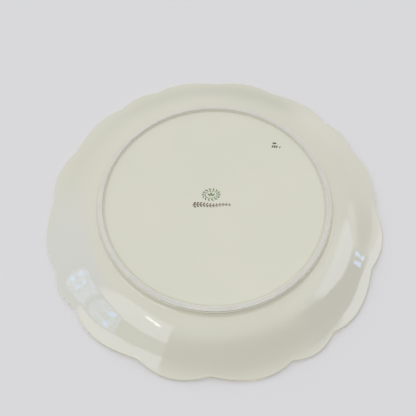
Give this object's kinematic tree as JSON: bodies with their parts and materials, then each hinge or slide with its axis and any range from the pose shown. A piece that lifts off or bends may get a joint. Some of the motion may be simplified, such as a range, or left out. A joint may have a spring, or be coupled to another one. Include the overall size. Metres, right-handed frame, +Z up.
{
  "type": "porcelain serving bowl",
  "caption": "Shallow round porcelain serving bowl with a scalloped, gilt-edged rim, a gently curved wall and a low bare foot ring around a recessed, glazed base.",
  "frame": {"origin": "centre of the foot ring's bearing face, at the bottom of the bowl", "axes": "+Z up out of the bowl along its axis; +X through the crown of a narrow scallop, which repeats every 90 degrees"},
  "size_m": [0.3054, 0.3054, 0.0222],
  "materials": {
    "porcelain": "fired porcelain, translucent ivory white, hidden under the glaze",
    "bare_porcelain": "unglazed fired porcelain, fine and matt, greyed by wear",
    "cream_glaze": "clear gloss glaze over ivory porcelain, reads as greenish cream",
    "cream_glaze_inside": "clear gloss glaze over ivory porcelain",
    "cream_glaze_base": "clear gloss glaze over ivory porcelain, very slightly uneven",
    "worn_gold": "thin burnished gold line, worn and pale",
    "green_print": "transfer print under the glaze, glossy leaf green",
    "brown_print": "transfer print, glossy dark brown",
    "black_enamel": "hand-painted black enamel strokes"
  },
  "bodies": {
    "root": {"bowl_body": "porcelain", "foot_ring": "bare_porcelain", "outside_glaze": "cream_glaze", "inside_glaze": "cream_glaze_inside", "base_glaze": "cream_glaze_base", "rim_gilding": "worn_gold", "wreath_print": "green_print", "vine_print": "brown_print", "decorator_mark": "black_enamel"}
  },
  "joints": []
}
